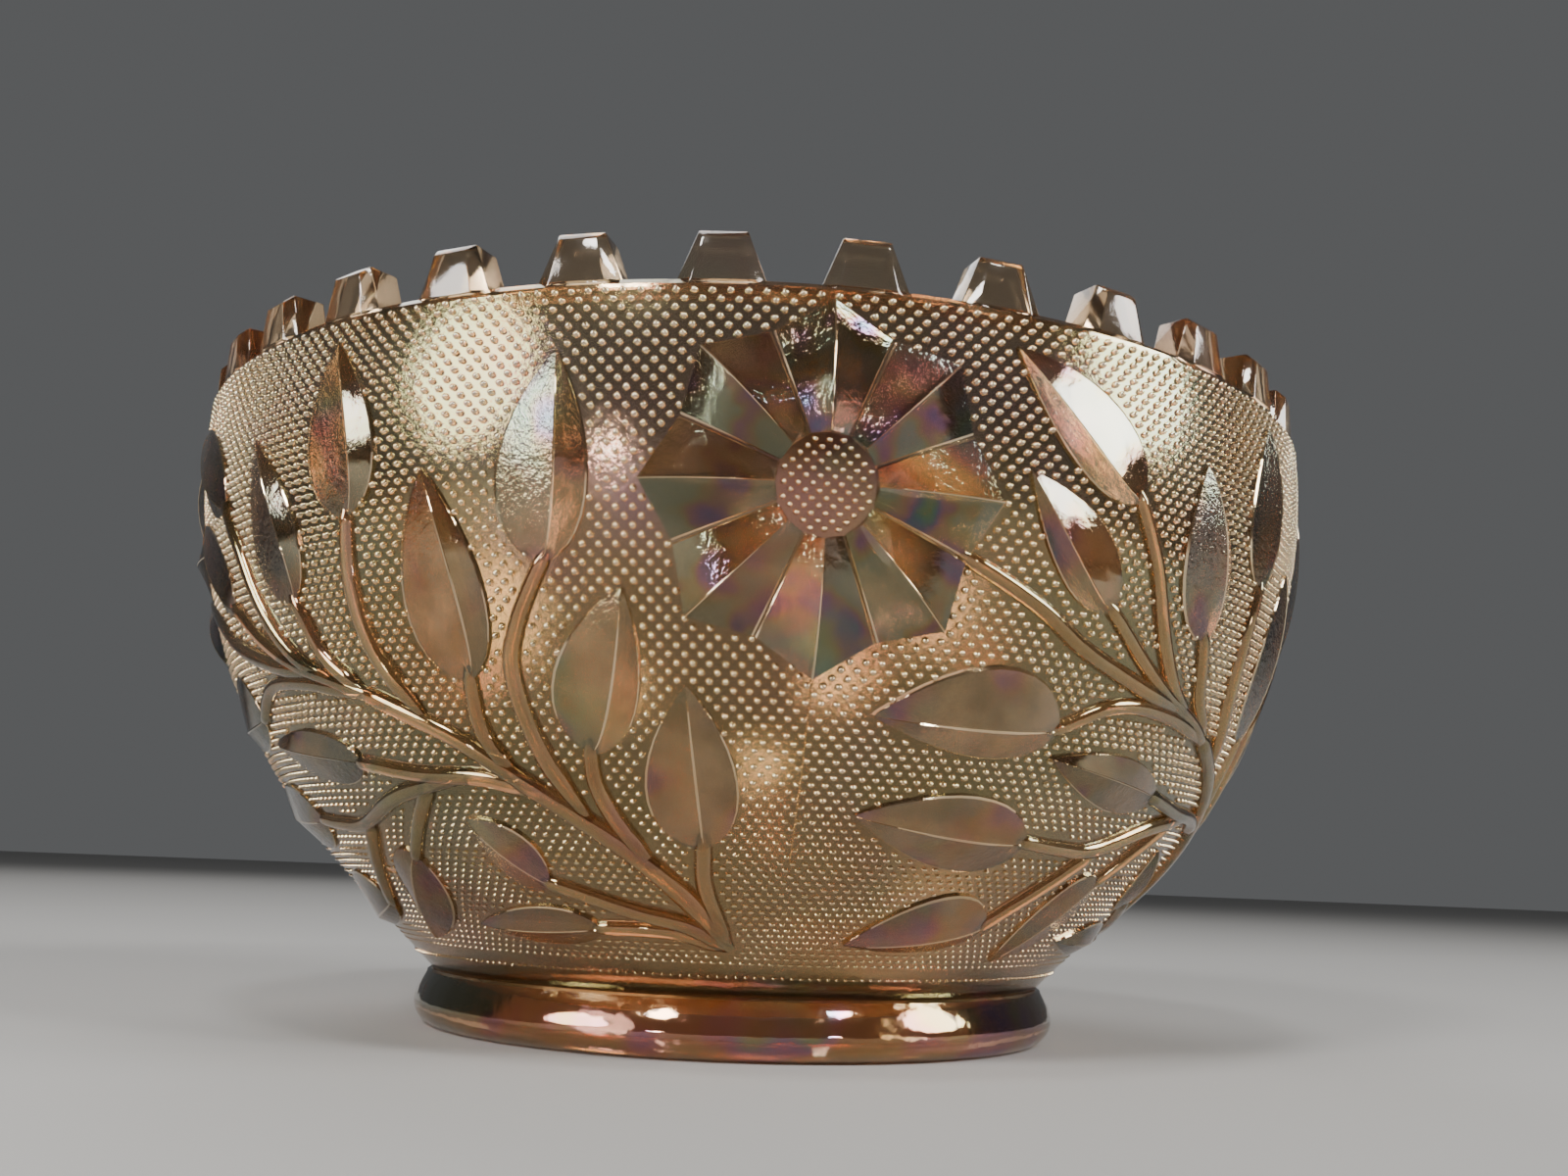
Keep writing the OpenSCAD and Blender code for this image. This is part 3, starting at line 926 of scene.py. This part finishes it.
# ---------------------------------------------------------------- the bowl, put together
peach = lustre_glass("peach_glass", (0.52, 0.36, 0.26), (0.34, 0.22, 0.15), (0.74, 0.42, 0.25),
                     patch=0.12, grain=0.3, gloss=0.09, metal=0.04, coat=0.05,
                     film=(263, 290, 55.0), film_index=1.75)
amber = lustre_glass("amber_glass", (0.84, 0.55, 0.33), (0.54, 0.31, 0.17), (0.66, 0.38, 0.21),
                     drift=70.0, patch=0.2, grain=0.1, metal=0.12, coat=0.3,
                     film=(264, 300, 80.0), film_index=1.75)
foot_amber = lustre_glass("foot_amber_glass", (0.94, 0.54, 0.31), (0.86, 0.42, 0.21),
                          (0.92, 0.48, 0.26), drift=50.0, patch=0.3, grain=0.05, gloss=0.05,
                          metal=0.08, relief=0.5, coat=0.2, film=(272, 420, 75.0),
                          film_index=1.75)
# Bead glass, for the ground's beads and the eye's: the gold lustre, made lighter and more metallic
# than the ground's glass as a painted glint on every bead.
gold_glint_glass = lustre_glass("gold_glint_bead_glass", (1.0, 0.83, 0.58), (0.96, 0.70, 0.43), (0.90, 0.60, 0.33),
                    patch=0.12, grain=0.3, gloss=0.07, metal=0.50, relief=0.1,
                    film=(241, 258, 55.0))
# The leaves' left facets: a stippled, darker copy of the leaf glass. The stipple is real; the darker
# tone is painted shade on that facet.
smoke = lustre_glass("smoky_leaf_glass", (0.62, 0.48, 0.34), (0.26, 0.17, 0.10),
                     (0.50, 0.30, 0.17), drift=140.0, patch=0.3, grain_scale=1300.0, grain=0.65,
                     gloss=0.09, metal=0.12, relief=0.8, coat=0.1, film=(266, 410, 110.0),
                     film_index=1.65)
# The leaves' right facets: a smoother, lighter copy of the leaf glass. The lighter tone is painted
# light on that facet.
leaf_side = lustre_glass("leaf_side_glass", (0.76, 0.54, 0.35), (0.36, 0.22, 0.12),
                         (0.58, 0.34, 0.18), drift=130.0, patch=0.3, grain=0.15, gloss=0.05,
                         metal=0.14, relief=0.5, coat=0.2, film=(262, 420, 110.0),
                         film_index=1.65)
# Lighter, more metallic gold glass on the narrow ridge and edge columns of leaves and petals: a
# painted highlight along the ridges and edges.
painted_ridge_highlight = lustre_glass("painted_ridge_highlight_glass", (0.98, 0.78, 0.54), (0.84, 0.58, 0.34),
                         (0.78, 0.50, 0.30), drift=110.0, patch=0.1, grain=0.2, metal=0.45,
                         relief=0.2, film=(246, 270, 110.0))
# The petals' first facets: the darker copy of the petal glass, painted shade on that facet.
petal_glass = lustre_glass("smoky_petal_glass", (0.42, 0.39, 0.31), (0.22, 0.19, 0.14),
                           (0.5, 0.3, 0.15), drift=150.0, patch=0.3, grain=0.35, gloss=0.07,
                           metal=0.05, relief=0.5, coat=0.0, film=(250, 410, 150.0),
                           film_index=1.65)
# The petals' second facets: a lighter, smoother copy of the petal glass, painted light on that facet.
petal_side = lustre_glass("petal_side_glass", (0.54, 0.46, 0.33), (0.28, 0.22, 0.15),
                          (0.5, 0.3, 0.15), drift=150.0, patch=0.3, grain=0.25, gloss=0.04,
                          metal=0.08, relief=0.5, coat=0.0, film=(238, 430, 150.0),
                          film_index=1.7)
tooth_glass = lustre_glass("tooth_glass", (0.78, 0.62, 0.42), (0.76, 0.50, 0.28), (0.7, 0.5, 0.3),
                           patch=0.2, grain=0.1, metal=0.02, coat=0.0)

finish_piece(make_bowl(), peach, "wall_glass", "bowl_wall", "bowl_floor")
finish_piece(make_band(), amber, "rim_glass", "rim_band")
finish_piece(make_foot(), foot_amber, "foot_glass", "foot_ring")
finish_piece(ring_of(make_tooth(), TEETH, TOOTH_TURN, "block_teeth"), tooth_glass,
             "tooth_glass", "rim_teeth")

leaves = join([make_leaf(leaf) for leaf in LEAVES], "leaf_spray")
for piece, side in zip(quarter_turns(leaves, "leaf_spray"), SIDES):
    finish_piece(piece, smoke, "leaf_glass", f"leaves_{side}")
stems = join([make_stem(stem) for stem in STEMS], "stem_spray")
for piece, side in zip(quarter_turns(stems, "stem_spray"), SIDES):
    finish_piece(piece, amber, "stem_glass", f"stems_{side}")
petals = join([make_petal(i) for i in range(PETALS)], "blossom")
for piece, side in zip(quarter_turns(petals, "blossom"), SIDES):
    finish_piece(piece, petal_glass, "petal_glass", f"petals_{side}")
for piece, side in zip(quarter_turns(make_eye(), "eye"), SIDES):
    finish_piece(piece, gold_glint_glass, "petal_glass", f"blossom_eye_{side}")
for piece, side in zip(quarter_turns(make_beads(), "beads_relief"), SIDES):
    finish_piece(piece, gold_glint_glass, "bead_glass", f"beads_{side}")


# ---------------------------------------------------------------- floor, light and camera
# Lamps: name, place, height on the bowl's axis it is aimed at, its width, and its watts
LAMPS = [
    ("left_softbox", (-0.70, -0.42, 0.26), 0.05, 0.34, 5.5),
    ("right_softbox", (0.74, -0.26, 0.36), 0.05, 0.34, 6.4),
    ("front_left_lamp", (-0.38, -0.60, 0.55), 0.05, 0.16, 3.8),
    ("front_right_lamp", (0.42, -0.55, 0.62), 0.05, 0.14, 2.4),
    ("overhead", (-0.10, -0.42, 0.85), 0.05, 0.12, 2),
    ("low_left_lamp", (-0.30, -0.50, 0.05), 0.04, 0.03, 0.25),
    ("low_right_lamp", (0.28, -0.52, 0.04), 0.04, 0.03, 0.2),
    ("rear", (-0.25, 0.80, 1.05), 0.05, 0.9, 6),
]


def make_floor():
    bpy.ops.mesh.primitive_circle_add(vertices=96, radius=6, fill_type="NGON", location=(0, 0, 0))
    floor = named("studio_floor")
    m = bpy.data.materials.new("pale_floor")
    m.use_nodes = True
    shader = m.node_tree.nodes["Principled BSDF"]
    shader.inputs["Base Color"].default_value = (0.38, 0.37, 0.355, 1)
    shader.inputs["Roughness"].default_value = 0.7
    floor.data.materials.append(m)


def make_lamp(name, place, aim_z, size, watts):
    light = bpy.data.lights.new(name, "AREA")
    light.shape, light.size, light.energy = "DISK", size, watts
    obj = bpy.data.objects.new(name, light)
    bpy.context.scene.collection.objects.link(obj)
    obj.location = place
    aim = Vector((0, 0, aim_z)) - Vector(place)
    obj.rotation_euler = aim.to_track_quat("-Z", "Y").to_euler()


def make_light():
    world = bpy.data.worlds.new("studio")
    world.use_nodes = True
    back = world.node_tree.nodes["Background"]
    back.inputs["Color"].default_value = (0.80, 0.82, 0.84, 1)
    back.inputs["Strength"].default_value = 0.13
    bpy.context.scene.world = world
    for lamp in LAMPS:
        make_lamp(*lamp)


def make_camera():
    """Held low and close, looking slightly up, a little to the left of the first blossom."""
    turn = math.radians(-5.3)
    far, high = 226.4 * MM, 22.1 * MM
    up_tilt, aside, roll = math.radians(11.0), math.radians(1.27), math.radians(2.22)
    ahead = Vector((math.sin(aside) * math.cos(up_tilt), math.cos(aside) * math.cos(up_tilt),
                    math.sin(up_tilt)))
    right = ahead.cross(Vector((0, 0, 1))).normalized()
    up = right.cross(ahead)
    leaned_right = math.cos(roll) * right + math.sin(roll) * up
    leaned_up = -math.sin(roll) * right + math.cos(roll) * up
    facing_to = Matrix((leaned_right, leaned_up, -ahead)).transposed().to_4x4()
    cam = bpy.data.cameras.new("camera")
    cam.lens, cam.sensor_width, cam.clip_start = 33.885, 36, 0.01
    obj = bpy.data.objects.new("camera", cam)
    bpy.context.scene.collection.objects.link(obj)
    obj.matrix_world = (Matrix.Rotation(turn, 4, "Z") @ Matrix.Translation((0, -far, high))
                        @ facing_to)
    bpy.context.scene.camera = obj


make_floor()
make_light()
make_camera()
